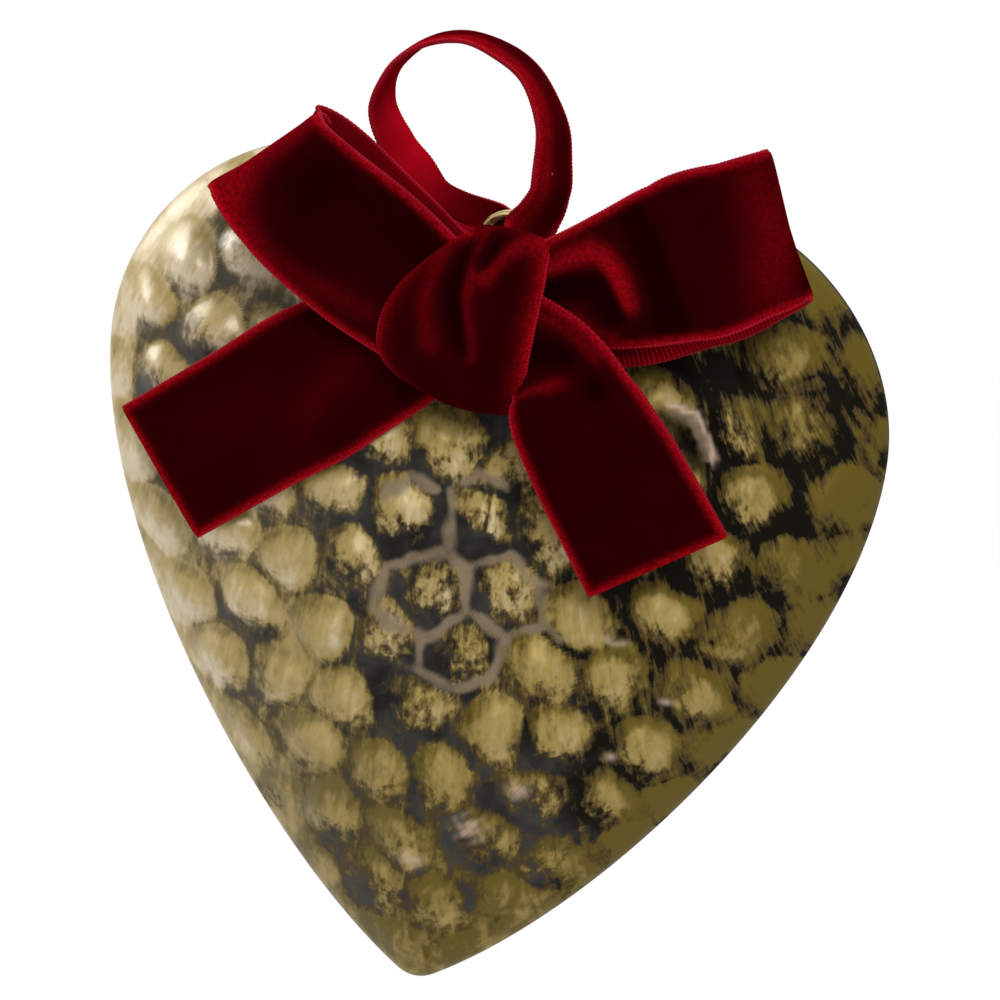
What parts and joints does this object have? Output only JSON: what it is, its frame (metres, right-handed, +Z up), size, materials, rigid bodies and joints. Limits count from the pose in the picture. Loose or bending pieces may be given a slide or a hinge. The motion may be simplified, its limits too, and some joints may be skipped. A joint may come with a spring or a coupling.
{
  "type": "hanging heart ornament",
  "caption": "Puffed heart of embossed sheet metal in antique gold, with a velvet bow at its cleft, hung by a wire eye, a ring and a velvet ribbon loop.",
  "frame": {"origin": "inside of the hanging loop at its crest, where a hook carries the ornament", "axes": "+Z up along the hang, -Y out of the bow's face, +X to the right as seen from the front"},
  "size_m": [0.12, 0.0471, 0.1461],
  "materials": {
    "antique_gold": "antique gold paint brushed over a dark patina",
    "solder": "dull solder",
    "wire": "bright drawn wire",
    "velvet": "dark red velvet pile"
  },
  "bodies": {
    "hanger": {"hanging_loop": "velvet"},
    "ring": {"jump_ring": "wire"},
    "eye": {"hanger_eye": "wire"},
    "heart": {"front_shell": "antique_gold", "back_shell": "antique_gold", "seam_solder": "solder", "bow_knot": "velvet", "bow_loop_left": "velvet", "bow_loop_right": "velvet", "bow_tail_left": "velvet", "bow_tail_right": "velvet"}
  },
  "joints": [
    {"name": "ring_turn", "type": "hinge", "parent": "hanger", "child": "ring", "pos_m": [0.0106, 0, -0.0286], "axis": [0, 1, 0], "continuous": true},
    {"name": "heart_swing", "type": "hinge", "parent": "hanger", "child": "eye", "pos_m": [0.0106, 0, -0.033], "axis": [1, 0, 0], "range_deg": [-15, 15]},
    {"name": "heart_twist", "type": "hinge", "parent": "eye", "child": "heart", "pos_m": [0.0106, 0, -0.0391], "axis": [0, 0, 1], "range_deg": [-25, 25]}
  ]
}
